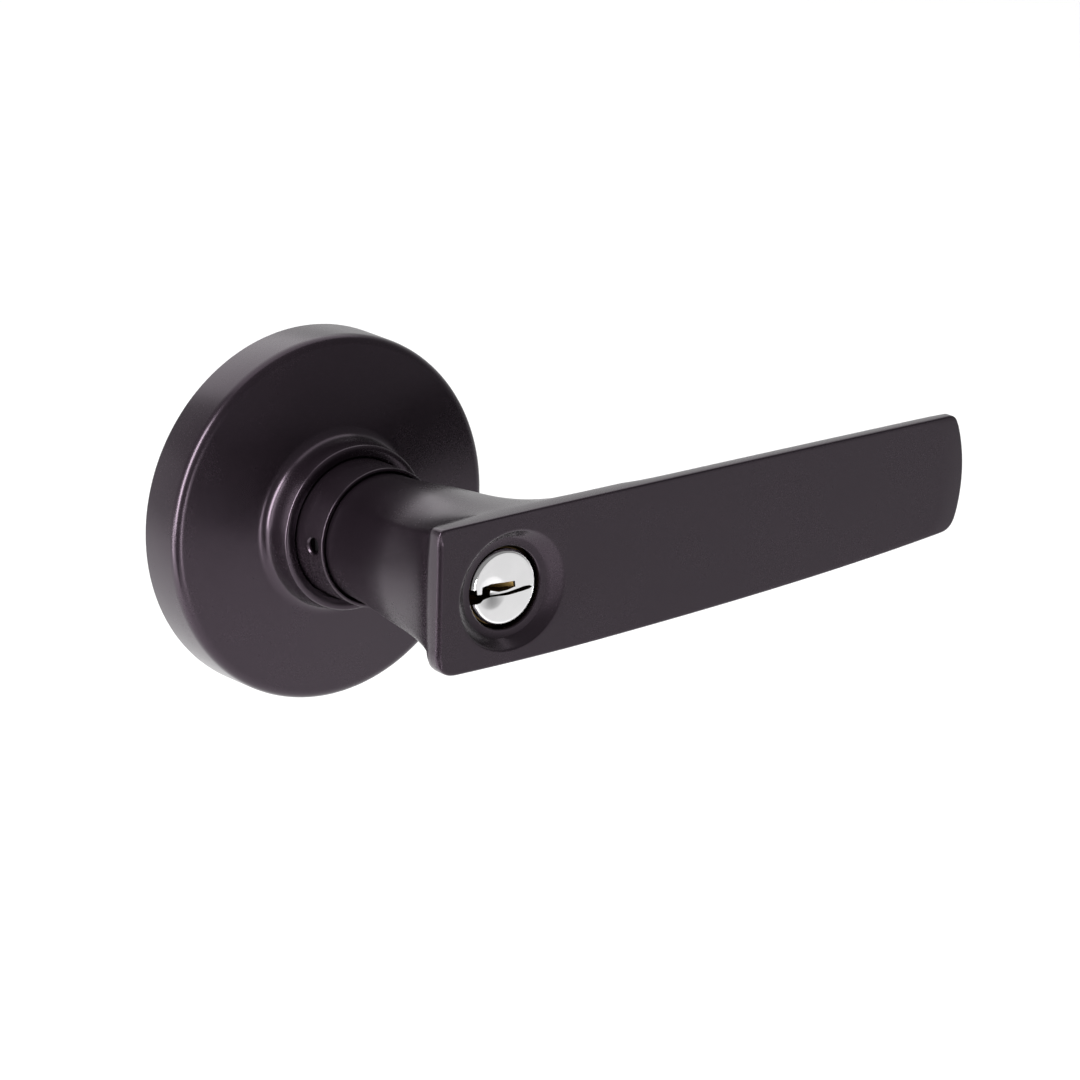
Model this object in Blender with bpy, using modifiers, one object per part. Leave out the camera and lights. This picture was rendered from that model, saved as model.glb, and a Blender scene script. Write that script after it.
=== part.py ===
"""Outside half of a keyed door lever: round rose, turning lever, key cylinder with its pins.

World frame, metres: +Z is up, the door's face is the plane y = 0, and the trim stands out along -Y.
Every piece is modelled under empties turned so that their own z runs outward along the spindle
axis, x to the right and y up. In that turned frame "reach" is the distance out from the door.
"""

import math

import bmesh
import bpy

MM = 0.001

# Driving dimensions, in millimetres.
ROSE_RADIUS = 33.35
ROSE_DEPTH = 9.7
CONE_DEPTH = 11.3
HUB_DEPTH = 17.4
SHEET = 1.1
GAP = 0.3
COLLAR_RADIUS = 12.65
COLLAR_BORE = 12.0
COLLAR_FRONT = 24.8
COLLAR_BACK = 13.2
NECK_RADIUS = 11.65
NECK_SWELL = 1.35
NECK_BACK = 8.5
SPINDLE_RADIUS = 9.5
SPINDLE_BORE = 8.3
SPINDLE_FRONT = 27.0
SPINDLE_BACK = -20.0
EAR_HALF_ANGLE = 32
POST_SPACING = 41.3
POST_LENGTH = 12.0
POST_RADIUS = 3.4
RIVET_CIRCLE = 28.0
RIVET_RADIUS = 1.2
PLATE_THICKNESS = 2.0

# The grip's front face: its height over the door falls towards the tip.
FACE_REACH = 63.66
FACE_SLOPE = 0.09
FACE_BOW = 0.00007
HEAD_LEFT = -16.4
HEAD_LEAN = 0.03
HEAD_LIFT = 0.75
TIP_RIGHT = 110.0
TIP_CURVE = 0.0195
TIP_MIDDLE = 1.0
UPPER_EDGE = 13.8
UPPER_TAPER = 3.0
LOWER_EDGE = 13.35
LOWER_TAPER = 2.8
RIM_DEPTH = 1.8
GRIP_DEPTH = 7.5
GRIP_THINNING = 1.5
FLARE_LENGTH = 11.0
FILLET_REACH = 20.0
BLEND = 1.2
HEAD_CORNERS = (1.2, 4.4)
TIP_CORNERS = (1.8, 2.6)

# The recess round the key cylinder.
LEDGE_REACH = 61.8
LEDGE_RADIUS = 8.95
DISH_MIDDLE = (0.3, -0.1)
DISH_WIDTH = 12.0
DISH_HEIGHT = 10.6
FACE_HOLE = 7.5

# The key cylinder.
PLUG_RADIUS = 6.35
PLUG_FACE_RADIUS = 6.85
PLUG_FRONT = 61.6
PLUG_BACK = 34.0
SHELL_RADIUS = 8.0
SHELL_FRONT = 60.4
SHELL_BACK = 34.3
POCKET_RADIUS = 8.35
POCKET_FRONT = 60.7
GROOVE_RADIUS = 9.0
GROOVE_BACK = 31.6
GROOVE_FRONT = 33.3
CHAMBER_ROW = -9.7
CHAMBER_HALF_WIDTH = 2.0
FIRST_PIN = 56.4
PIN_PITCH = 3.97
PIN_RADIUS = 1.15
CHAMBER_RADIUS = 1.45
BITTING = (0.9, 0.3, 1.2, 0.6, 0.0)
SHEAR_LINE = 6.5
CATCH_REACH = 22.0

PIN_COUNT = len(BITTING)


def clear_scene():
    for thing in list(bpy.data.objects):
        bpy.data.objects.remove(thing, do_unlink=True)


def collection(name):
    made = bpy.data.collections.new(name)
    bpy.context.scene.collection.children.link(made)
    return made


clear_scene()
PARTS = collection("lever_lockset")
CUTTERS = collection("cutters")


def material(name, color, metallic, roughness):
    made = bpy.data.materials.new(name)
    made.use_nodes = True
    shader = made.node_tree.nodes["Principled BSDF"]
    shader.inputs["Base Color"].default_value = (*color, 1.0)
    shader.inputs["Metallic"].default_value = metallic
    shader.inputs["Roughness"].default_value = roughness
    return made


BLACK = ("satin_black", (0.045, 0.036, 0.041), 0.0, 0.38)
CHROME = ("chrome", (0.80, 0.80, 0.81), 1.0, 0.08)
BRASS = ("brass", (0.62, 0.42, 0.16), 1.0, 0.30)
STEEL = ("zinc_steel", (0.55, 0.56, 0.58), 1.0, 0.35)
SPRING_STEEL = ("spring_steel", (0.40, 0.41, 0.43), 1.0, 0.28)
NYLON = ("nylon", (0.78, 0.76, 0.70), 0.0, 0.50)


def empty(name, parent=None):
    made = bpy.data.objects.new(name, None)
    PARTS.objects.link(made)
    made.parent = parent
    return made


TRIM = empty("trim_axis")
TRIM.rotation_euler = (math.pi / 2, 0, 0)
LEVER = empty("lever_axis", TRIM)
PLUG = empty("plug_axis", LEVER)


def finish_piece(thing, look, parent):
    """Gives a sub-part its place under its axis and a material of its own."""
    thing.parent = parent
    label, color, metallic, roughness = look
    thing.data.materials.append(material(f"{thing.name}_{label}", color, metallic, roughness))
    return thing


def mesh_object(name, verts, faces, home):
    mesh = bpy.data.meshes.new(name)
    mesh.from_pydata([tuple(c * MM for c in v) for v in verts], [], faces)
    made = bpy.data.objects.new(name, mesh)
    home.objects.link(made)
    return made


def hide_cutter(thing, parent):
    thing.parent = parent
    thing.hide_render = True
    thing.display_type = "WIRE"
    return thing


def turned_object(name, profile, steps, home):
    """A closed profile of (radius, reach) turned about z. It runs outside top to bottom first."""
    on_axis = profile[0][0] == 0
    points = [(radius * MM, 0.0, reach * MM) for radius, reach in profile]
    edges = [(i, i + 1) for i in range(len(points) - 1)]
    if not on_axis:
        edges.append((len(points) - 1, 0))
    mesh = bpy.data.meshes.new(name)
    mesh.from_pydata(points, edges, [])
    made = bpy.data.objects.new(name, mesh)
    home.objects.link(made)
    screw = made.modifiers.new("turn", "SCREW")
    screw.steps = steps
    screw.render_steps = steps
    screw.use_merge_vertices = True
    screw.merge_threshold = 0.00001
    screw.use_smooth_shade = True
    if on_axis:
        weld = made.modifiers.new("close_poles", "WELD")
        weld.merge_threshold = 0.00001
    return made


def turned(name, profile, look, parent=TRIM, steps=40):
    return finish_piece(turned_object(name, profile, steps, PARTS), look, parent)


def ring(outer, inner, front, back):
    """Profile of a plain ring."""
    return [(outer, front), (outer, back), (inner, back), (inner, front)]


def rod(radius, front, back):
    """Profile of a plain solid rod."""
    return [(0, front), (radius, front), (radius, back), (0, back)]


def box_object(name, low, high, home):
    made = bpy.data.objects.new(name, bpy.data.meshes.new(name))
    home.objects.link(made)
    shape = bmesh.new()
    bmesh.ops.create_cube(shape, size=1.0)
    for vert in shape.verts:
        vert.co = [(low[i] + (vert.co[i] + 0.5) * (high[i] - low[i])) * MM for i in range(3)]
    shape.to_mesh(made.data)
    shape.free()
    return made


def cylinder_object(name, radius, start, end, home, sides=20):
    """A cylinder between two points that differ along one axis only."""
    made = bpy.data.objects.new(name, bpy.data.meshes.new(name))
    home.objects.link(made)
    length = math.dist(start, end)
    shape = bmesh.new()
    bmesh.ops.create_cone(
        shape, cap_ends=True, segments=sides,
        radius1=radius * MM, radius2=radius * MM, depth=length * MM,
    )
    shape.to_mesh(made.data)
    shape.free()
    made.location = [(a + b) / 2 * MM for a, b in zip(start, end)]
    if start[0] != end[0]:
        made.rotation_euler = (0, math.pi / 2, 0)
    return made


def outline_object(name, points, thickness, home, hole=()):
    """A flat outline in the x-y plane, filled and extruded both ways to its thickness."""
    curve = bpy.data.curves.new(name, "CURVE")
    curve.dimensions = "2D"
    curve.fill_mode = "BOTH"
    curve.extrude = thickness / 2 * MM
    for loop in filter(None, (points, hole)):
        spline = curve.splines.new("POLY")
        spline.points.add(len(loop) - 1)
        for point, (x, y) in zip(spline.points, loop):
            point.co = (x * MM, y * MM, 0, 1)
        spline.use_cyclic_u = True
    made = bpy.data.objects.new(name, curve)
    home.objects.link(made)
    return made


def as_mesh(thing):
    """The curve object as a mesh object with welded caps, in the same place."""
    bpy.context.view_layer.update()
    seen = thing.evaluated_get(bpy.context.evaluated_depsgraph_get())
    mesh = bpy.data.meshes.new_from_object(seen)
    shape = bmesh.new()
    shape.from_mesh(mesh)
    bmesh.ops.remove_doubles(shape, verts=shape.verts, dist=0.000001)
    shape.to_mesh(mesh)
    shape.free()
    name, home = thing.name, thing.users_collection[0]
    place = thing.matrix_world.copy()
    bpy.data.objects.remove(thing, do_unlink=True)
    made = bpy.data.objects.new(name, mesh)
    made.matrix_world = place
    home.objects.link(made)
    return made


def boolean(target, tool, operation):
    step = target.modifiers.new(tool.name, "BOOLEAN")
    step.operation = operation
    step.solver = "EXACT"
    step.object = tool


def cut(target, tool, parent=None):
    hide_cutter(tool, parent or target.parent)
    boolean(target, tool, "DIFFERENCE")


def join(target, tool, parent=None):
    hide_cutter(tool, parent or target.parent)
    boolean(target, tool, "UNION")


def sector(name, inner, outer, middle, half, front, back, home, steps=10):
    """A block between two radii, spanning an angle either side of its middle, in degrees."""
    angles = [math.radians(middle - half + 2 * half * i / steps) for i in range(steps + 1)]
    points = [(outer * math.cos(a), outer * math.sin(a)) for a in angles]
    points += [(inner * math.cos(a), inner * math.sin(a)) for a in reversed(angles)]
    made = as_mesh(outline_object(name, points, front - back, home))
    made.location.z = (front + back) / 2 * MM
    return made


# ---------------------------------------------------------------- the lever's own shape


def face_reach(x):
    """How far the grip's front face stands out from the door at x."""
    return FACE_REACH - FACE_SLOPE * x - FACE_BOW * x * x


def along(x):
    """Share of the grip's length that lies left of x."""
    return max(0.0, (x - HEAD_LEFT) / (TIP_RIGHT - HEAD_LEFT))


def upper_edge(x):
    return UPPER_EDGE - UPPER_TAPER * along(x) ** 1.35


def lower_edge(x):
    near_head = max(0.0, 1 - along(x) / 0.3)
    return LOWER_TAPER * along(x) ** 3.4 + HEAD_LIFT * near_head ** 2 - LOWER_EDGE


def head_edge(y):
    return (HEAD_LEFT + HEAD_LEAN * y, y)


def tip_edge(y):
    return (TIP_RIGHT - TIP_CURVE * (y - TIP_MIDDLE) ** 2, y)


def rounded_corner(corner, before, after, radius, steps):
    """Points of an arc that rounds a corner between the directions of its two neighbours."""
    out = []
    into = [before[i] - corner[i] for i in range(2)]
    away = [after[i] - corner[i] for i in range(2)]
    into = [c / math.hypot(*into) for c in into]
    away = [c / math.hypot(*away) for c in away]
    for i in range(steps + 1):
        t = i / steps
        a, b = (1 - t) ** 2, t ** 2
        out.append(tuple(corner[k] + radius * (a * into[k] + b * away[k]) for k in range(2)))
    return out


def tip_corner(edge):
    """Where the tip's edge meets the upper or lower edge."""
    x = TIP_RIGHT
    for _ in range(5):
        x = tip_edge(edge(x))[0]
    return (x, edge(x))


def grip_outline():
    """The front face's outline, anticlockwise from the middle of the tip."""
    def upper(x):
        return (x, upper_edge(x))

    def lower(x):
        return (x, lower_edge(x))

    tip_top, tip_low = tip_corner(upper_edge), tip_corner(lower_edge)
    head_top, head_low = upper(HEAD_LEFT + 0.4), lower(HEAD_LEFT - 0.4)
    span = tip_low[0] - 9

    points = [tip_edge(tip_top[1] * i / 4) for i in range(4)]
    points += rounded_corner(tip_top, tip_edge(7), upper(tip_top[0] - 9), TIP_CORNERS[0], 3)
    points += [upper(tip_top[0] - 4 - span * i / 12) for i in range(13)]
    points += [upper(2 - 5 * i) for i in range(4)]
    points += rounded_corner(head_top, upper(0), head_low, HEAD_CORNERS[0], 3)
    points += [head_edge(8.5 - 3.9 * i) for i in range(5)]
    points += rounded_corner(head_low, head_top, lower(-6), HEAD_CORNERS[1], 4)
    points += [lower(-10 + 5 * i) for i in range(3)]
    points += [lower(6 + span * i / 12) for i in range(13)]
    points += rounded_corner(tip_low, lower(tip_low[0] - 9), tip_edge(-7), TIP_CORNERS[1], 3)
    points += [tip_edge(tip_low[1] * i / 4) for i in (3, 2, 1)]
    return points


def spoke_angle(x, y):
    """The angle on the round neck that an outline point's spoke runs to."""
    if x > 0:
        x = x / (1 + x / 30)
    return math.atan2(y, x)


def smooth_step(t):
    t = min(1.0, max(0.0, t))
    return t * t * (3 - 2 * t)


def neck_radius(reach):
    return NECK_RADIUS + NECK_SWELL * smooth_step((reach - COLLAR_FRONT) / 20)


def grip_back(x, y):
    """Depth of the grip's rounded back behind its face."""
    high, low = upper_edge(x), lower_edge(x)
    across = min(1.0, abs(2 * y - high - low) / (high - low))
    ends = min(1.0, max(0.0, (TIP_RIGHT - x) / 9), max(0.0, (x - HEAD_LEFT) / 9))
    dome = math.sqrt(max(0.0, 1 - across * across)) * math.sqrt(max(0.0, 1 - (1 - ends) ** 2))
    full = GRIP_DEPTH - GRIP_THINNING * max(0.0, x) / TIP_RIGHT
    return RIM_DEPTH + (full - RIM_DEPTH) * dome


def spoke(point, count):
    """Points from the edge of the face, round the grip's back and down the neck's side."""
    angle = spoke_angle(*point)
    toward = (math.cos(angle), math.sin(angle))
    widest = NECK_RADIUS + NECK_SWELL
    length = math.dist(point, [widest * c for c in toward])
    fillet = min(1.0, FILLET_REACH / length)
    straight = FACE_REACH - COLLAR_FRONT
    faded = math.exp((RIM_DEPTH - straight) / FLARE_LENGTH)
    path = [(*point, face_reach(point[0]) - RIM_DEPTH)]
    samples = 120
    for i in range(1, samples + 1):
        share = math.exp(-5.0 * i / samples) - math.exp(-5.0) * i / samples
        flare = RIM_DEPTH - FLARE_LENGTH * math.log(share / fillet * (1 - faded) + faded)
        x, y = (point[k] * share + widest * toward[k] * (1 - share) for k in range(2))
        low, high = sorted((flare, grip_back(x, y)))
        depth = max(RIM_DEPTH, high + BLEND * math.exp((low - high) / BLEND))
        radius = neck_radius(FACE_REACH - depth)
        x, y = (point[k] * share + radius * toward[k] * (1 - share) for k in range(2))
        level = 1 / (1 + (max(0.0, depth - GRIP_DEPTH) / FILLET_REACH * 2) ** 2)
        path.append((x, y, face_reach(x * level) - depth))
    neck = [(NECK_RADIUS * toward[0], NECK_RADIUS * toward[1], z) for z in (COLLAR_FRONT, NECK_BACK)]
    path[-1] = neck[0]
    return [(*point, face_reach(point[0]))] + resample(path, count) + neck[1:]


def resample(path, count):
    """The same path with evenly spaced points."""
    reached = [0.0]
    for a, b in zip(path, path[1:]):
        reached.append(reached[-1] + math.dist(a, b))
    out = []
    at = 0
    for i in range(count):
        goal = reached[-1] * i / (count - 1)
        while at < len(path) - 2 and reached[at + 1] < goal:
            at += 1
        step = reached[at + 1] - reached[at]
        t = (goal - reached[at]) / step if step else 0.0
        out.append(tuple(a + (b - a) * t for a, b in zip(path[at], path[at + 1])))
    return out


def lever_rings():
    """Rings of points round the lever: out over the recess and face, back along grip and neck."""
    outline = grip_outline()
    spokes = [spoke(point, 11) for point in outline]
    angles = [spoke_angle(*point) for point in outline]

    def circle(radius, reach):
        return [(radius * math.cos(a), radius * math.sin(a), reach) for a in angles]

    rim = []
    for angle in angles:
        x = DISH_MIDDLE[0] + DISH_WIDTH * math.cos(angle)
        y = DISH_MIDDLE[1] + DISH_HEIGHT * math.sin(angle)
        rim.append((x, y, face_reach(x)))
    rings = [
        circle(SPINDLE_RADIUS + 0.4, NECK_BACK),
        circle(SPINDLE_RADIUS + 0.4, SPINDLE_FRONT + 0.4),
        circle(POCKET_RADIUS, SPINDLE_FRONT + 0.4),
        circle(POCKET_RADIUS, GROOVE_BACK),
        circle(GROOVE_RADIUS, GROOVE_BACK),
        circle(GROOVE_RADIUS, GROOVE_FRONT),
        circle(POCKET_RADIUS, GROOVE_FRONT),
        circle(POCKET_RADIUS, POCKET_FRONT),
        circle(FACE_HOLE, POCKET_FRONT),
        circle(FACE_HOLE, LEDGE_REACH),
        circle(LEDGE_RADIUS, LEDGE_REACH),
        rim,
    ]
    for i in range(len(spokes[0])):
        rings.append([path[i] for path in spokes])
    return rings


def lever_handle():
    rings = lever_rings()
    around = len(rings[0])
    faces = []
    for i in range(len(rings)):
        for j in range(around):
            k = (j + 1) % around
            n = (i + 1) % len(rings)
            faces.append((i * around + j, i * around + k, n * around + k, n * around + j))
    verts = [point for each in rings for point in each]
    handle = mesh_object("lever_handle", verts, faces, PARTS)
    shape = bmesh.new()
    shape.from_mesh(handle.data)
    bmesh.ops.triangulate(shape, faces=shape.faces)
    bmesh.ops.recalc_face_normals(shape, faces=shape.faces)
    shape.to_mesh(handle.data)
    shape.free()
    handle.data.shade_smooth()
    handle.data.set_sharp_from_angle(angle=math.radians(35))
    finish_piece(handle, BLACK, LEVER)
    slot = box_object(
        "cylinder_slot", (CHAMBER_ROW - 1.1, -2.3, NECK_BACK - 1), (0, 2.3, POCKET_FRONT), CUTTERS
    )
    cut(handle, slot)
    window = box_object(
        "catch_window", (-14, -1.5, CATCH_REACH - 1.7), (-8, 1.5, CATCH_REACH + 1.7), CUTTERS
    )
    cut(handle, window)


# ---------------------------------------------------------------- pieces fixed to the door


def rose_cover():
    """The pressed rose: a low cone from its rounded edge up to the hub's tight fillet."""
    depth, edge, inner = ROSE_DEPTH, ROSE_RADIUS, ROSE_RADIUS - SHEET
    profile = [
        (13.0, HUB_DEPTH - 0.3), (14.2, HUB_DEPTH), (14.8, HUB_DEPTH - 0.2), (15.15, 16.4),
        (15.3, 13.6), (15.9, 12.1), (17.4, CONE_DEPTH), (edge - 1.5, depth),
        (edge - 0.45, depth - 0.45), (edge, depth - 1.5), (edge, 0),
        (inner, 0), (inner, depth - 1.7), (edge - 1.7, depth - SHEET),
        (17.0, CONE_DEPTH - SHEET), (14.9, 11.1), (14.3, 13.2), (14.2, 16.2), (13.0, 16.2),
    ]
    turned("rose_cover", profile, BLACK, steps=48)


def mounting_plate():
    plate = turned("mounting_plate", ring(ROSE_RADIUS - SHEET - 0.35, 14.0, PLATE_THICKNESS, 0), STEEL)
    drill_plate(plate, -1, 3)


def drill_plate(plate, back, front):
    """Holes through a plate for the two posts and the four rivets."""
    holes = [(x, 0, POST_RADIUS, 20) for x in (-POST_SPACING / 2, POST_SPACING / 2)]
    holes += [(x, y, RIVET_RADIUS, 12) for x, y in rivet_places()]
    for number, (x, y, radius, sides) in enumerate(holes):
        name = f"{plate.name}_hole{number}"
        start, end = (x, y, back), (x, y, front)
        cut(plate, cylinder_object(name, radius + GAP, start, end, CUTTERS, sides))


def rivet_places():
    angles = [math.radians(45 + 90 * i) for i in range(4)]
    return [(RIVET_CIRCLE * math.cos(a), RIVET_CIRCLE * math.sin(a)) for a in angles]


def spring_cage():
    """A pressed cup that holds the return spring, with two lugs that stop the lever's turn."""
    back = PLATE_THICKNESS + GAP
    profile = [
        (25.6, 8.2), (25.6, back + 1), (30.4, back + 1), (30.4, back), (14.5, back),
        (14.5, back + 1), (24.6, back + 1), (24.6, 8.2),
    ]
    cage = turned("spring_cage", profile, STEEL)
    for middle in (90, 270):
        join(cage, sector(f"stop_lug{middle}", 18.4, 25.0, middle, 8, 5.2, back + 0.5, CUTTERS, 4))
    drill_plate(cage, 0, 4)


def posts():
    """Threaded posts that take the through-door screws, staked flush into plate and cage."""
    for name, x in (("threaded_post_left", -POST_SPACING / 2), ("threaded_post_right", POST_SPACING / 2)):
        profile = [
            (0, 3.2), (POST_RADIUS, 3.2), (POST_RADIUS, -POST_LENGTH), (1.9, -POST_LENGTH),
            (1.9, -4.0), (0, -3.0),
        ]
        turned(name, profile, STEEL, steps=20).location = (x * MM, 0, 0)


def rivets():
    for number, (x, y) in enumerate(rivet_places()):
        profile = [
            (0, 4.6), (1.4, 4.4), (2.1, 3.6), (RIVET_RADIUS, 3.6), (RIVET_RADIUS, 0.3), (0, 0.3),
        ]
        turned(f"cage_rivet_{number + 1}", profile, STEEL, steps=12).location = (x * MM, y * MM, 0)


def collar():
    """The bush in the rose's hub that the neck turns in, with the release hole for the catch."""
    profile = [
        (12.2, COLLAR_FRONT), (12.5, COLLAR_FRONT - 0.3), (COLLAR_RADIUS, 17.0),
        (COLLAR_RADIUS, 15.8), (13.8, 15.8), (13.8, COLLAR_BACK), (COLLAR_BORE, COLLAR_BACK),
        (COLLAR_BORE, COLLAR_FRONT),
    ]
    piece = turned("collar", profile, BLACK, steps=48)
    hole = cylinder_object("release_hole", 1.5, (-14, 0, CATCH_REACH), (-11, 0, CATCH_REACH), CUTTERS)
    cut(piece, hole)
    turned("collar_retainer", ring(14.3, 12.1, COLLAR_BACK - GAP, COLLAR_BACK - 1.2), SPRING_STEEL)


def spindle_bearing():
    turned("spindle_bearing", ring(13.7, SPINDLE_RADIUS + 0.35, 3.2, 0.2), NYLON, steps=32)


# ---------------------------------------------------------------- pieces that turn with the lever


def spindle():
    sleeve = turned(
        "spindle", ring(SPINDLE_RADIUS, SPINDLE_BORE, SPINDLE_FRONT, SPINDLE_BACK), STEEL, LEVER, 32
    )
    window = box_object(
        "spindle_window", (-12, -1.5, CATCH_REACH - 1.7), (-6, 1.5, CATCH_REACH + 1.7), CUTTERS
    )
    cut(sleeve, window)
    fork = box_object("spindle_fork", (-12, -3.2, SPINDLE_BACK - 1), (12, 3.2, SPINDLE_BACK + 7), CUTTERS)
    cut(sleeve, fork)


def driver_plate():
    """The plate that carries the lever's turn to the return spring, and meets the stop lugs."""
    front, back = 5.0, 3.6
    outer, hole = [], []
    for degrees in range(0, 360, 4):
        angle = math.radians(degrees)
        ear = abs((degrees + 90) % 180 - 90) <= EAR_HALF_ANGLE
        radius = 23.2 if ear else 17.6
        outer.append((radius * math.cos(angle), radius * math.sin(angle)))
        bore = SPINDLE_RADIUS + GAP
        hole.append((bore * math.cos(angle), bore * math.sin(angle)))
    plate = outline_object("driver_plate", outer, front - back, PARTS, hole)
    plate.location.z = (front + back) / 2 * MM
    finish_piece(as_mesh(plate), STEEL, LEVER)


def circlip():
    clip = turned("spindle_circlip", ring(12.2, SPINDLE_RADIUS + 0.3, 6.3, 5.3), SPRING_STEEL, LEVER, 32)
    cut(clip, box_object("circlip_gap", (-2, -14, 5), (2, -8, 7), CUTTERS))


def cylinder_clip():
    clip = turned("cylinder_clip", ring(8.7, 7.35, 33.0, 31.9), SPRING_STEEL, LEVER, 32)
    cut(clip, box_object("cylinder_clip_gap", (-12, -2.6, 31), (-5, 2.6, 34), CUTTERS))


def pin_reaches():
    return [FIRST_PIN - PIN_PITCH * i for i in range(PIN_COUNT)]


def cylinder_shell():
    """The fixed brass barrel round the plug, with the row of pin chambers down its left side."""
    barrel = turned(
        "cylinder_shell", ring(SHELL_RADIUS, PLUG_RADIUS + GAP, SHELL_FRONT, SHELL_BACK), BRASS, LEVER, 32
    )
    row = box_object(
        "chamber_block", (CHAMBER_ROW, -CHAMBER_HALF_WIDTH, SHELL_BACK),
        (-7.2, CHAMBER_HALF_WIDTH, SHELL_FRONT), CUTTERS,
    )
    join(barrel, row)
    for number, reach in enumerate(pin_reaches()):
        bore = cylinder_object(
            f"chamber{number}", CHAMBER_RADIUS, (-12, 0, reach), (-5, 0, reach), CUTTERS, 16
        )
        cut(barrel, bore)
    cover = box_object(
        "chamber_cover", (CHAMBER_ROW - 0.8, -1.9, SHELL_BACK + 1), (CHAMBER_ROW - GAP, 1.9, 58.8), PARTS
    )
    finish_piece(cover, BRASS, LEVER)


# ---------------------------------------------------------------- pieces that turn with the key


def keyway_outline():
    """The zig-zag warded slot across the plug, in x and y."""
    return [
        (-5.3, 1.0), (-3.4, 1.0), (-2.9, 0.2), (-0.6, 0.2), (0.1, 0.75), (4.9, 0.75),
        (4.9, 0.1), (0.6, -0.1), (-0.1, -0.7), (-2.4, -0.7), (-3.2, -1.0), (-5.3, -1.0),
    ]


def key_plug():
    profile = [
        (0, PLUG_FRONT), (PLUG_FACE_RADIUS - 0.5, PLUG_FRONT), (PLUG_FACE_RADIUS, PLUG_FRONT - 0.5),
        (PLUG_FACE_RADIUS, SHELL_FRONT + GAP), (PLUG_RADIUS, SHELL_FRONT + GAP),
        (PLUG_RADIUS, PLUG_BACK), (5.5, PLUG_BACK), (5.5, 31.4), (0, 31.4),
    ]
    plug = turned("key_plug", profile, CHROME, PLUG, 36)
    keyway = as_mesh(outline_object("keyway", keyway_outline(), 40, CUTTERS))
    keyway.location.z = (PLUG_BACK + 3 + 20) * MM
    cut(plug, keyway)
    for number, reach in enumerate(pin_reaches()):
        bore = cylinder_object(
            f"plug_chamber{number}", CHAMBER_RADIUS, (-8, 0, reach), (-0.8, 0, reach), CUTTERS, 16
        )
        cut(plug, bore)


def plug_cap():
    profile = [(7.0, 33.6), (7.0, 28.6), (3.9, 28.6), (3.9, 29.6), (5.9, 29.6), (5.9, 33.6)]
    turned("plug_cap", profile, BRASS, PLUG, 28)


def tailpiece():
    disc = turned("tailpiece", rod(5.5, 31.1, 29.9), BRASS, PLUG, 24)
    join(disc, box_object("tail_bar", (-3.0, -0.8, -28.0), (3.0, 0.8, 30.5), CUTTERS))


def pin_profile(length, point):
    """A small turned pin with a tapered end, from its flat end at 0 down."""
    return [(0, 0), (PIN_RADIUS, 0), (PIN_RADIUS, point - length), (0.35, -length), (0, -length)]


def pins():
    """Key pins in the plug, driver pins and springs above them, one of each to a chamber."""
    for number, (reach, depth) in enumerate(zip(pin_reaches(), BITTING), start=1):
        key_pin = turned(f"key_pin_{number}", pin_profile(4.1 - depth, 0.8), BRASS, PLUG, 12)
        key_pin.location = (-(SHEAR_LINE - 0.25) * MM, 0, reach * MM)
        key_pin.rotation_euler = (0, -math.pi / 2, 0)
        driver = turned(f"driver_pin_{number}", pin_profile(1.3, 0.2), STEEL, LEVER, 12)
        driver.location = (-(SHEAR_LINE + 1.55) * MM, 0, reach * MM)
        driver.rotation_euler = (0, -math.pi / 2, 0)
        spring = coil(f"pin_spring_{number}", 0.95, 0.17, 1.1, 2.5, 8, SPRING_STEEL, LEVER)
        spring.location = (-(SHEAR_LINE + 1.95) * MM, 0, reach * MM)
        spring.rotation_euler = (0, -math.pi / 2, 0)


def coil(name, radius, wire, rise, turns, per_turn, look, parent):
    """A wire wound about z, its first turn at 0 and its last at the given rise."""
    curve = bpy.data.curves.new(name, "CURVE")
    curve.dimensions = "3D"
    curve.bevel_depth = wire * MM
    curve.bevel_resolution = 0
    curve.use_fill_caps = True
    spline = curve.splines.new("POLY")
    count = int(turns * per_turn) + 1
    spline.points.add(count - 1)
    for i, point in enumerate(spline.points):
        angle = 2 * math.pi * i / per_turn
        point.co = (
            radius * math.cos(angle) * MM, radius * math.sin(angle) * MM,
            rise * i / (count - 1) * MM, 1,
        )
    made = bpy.data.objects.new(name, curve)
    PARTS.objects.link(made)
    return finish_piece(made, look, parent)


def return_spring():
    coil("return_spring", 21.0, 0.5, 2.6, 1.9, 28, SPRING_STEEL, TRIM).location.z = 5.9 * MM


def catch():
    """The spring catch that holds the lever on the spindle, behind the collar's release hole."""
    block = box_object(
        "lever_catch", (-11.5, -1.2, CATCH_REACH - 1.4), (-7.4, 1.2, CATCH_REACH + 1.4), PARTS
    )
    finish_piece(block, STEEL, LEVER)
    strip = [(-8.0, 9.0), (-7.9, 12.0), (-7.1, 19.5), (-7.1, 24.5), (-6.7, 24.5), (-6.7, 19.3), (-7.5, 12.0),
             (-7.5, 9.0)]
    leaf = as_mesh(outline_object("catch_spring", strip, 2.0, PARTS))
    leaf.rotation_euler = (math.pi / 2, 0, 0)
    finish_piece(leaf, SPRING_STEEL, LEVER)


rose_cover()
mounting_plate()
spring_cage()
posts()
rivets()
collar()
spindle_bearing()
return_spring()
lever_handle()
spindle()
driver_plate()
circlip()
cylinder_clip()
cylinder_shell()
key_plug()
plug_cap()
tailpiece()
pins()
catch()
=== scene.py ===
"""Looks for the outside half of a keyed door lever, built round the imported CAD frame.

Pieces are shaped in the trim's own frame, in millimetres: x to the right, y up and z ("reach")
outward from the door along the spindle axis. row_point() turns that into the scene's metres.
"""

import math

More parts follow.
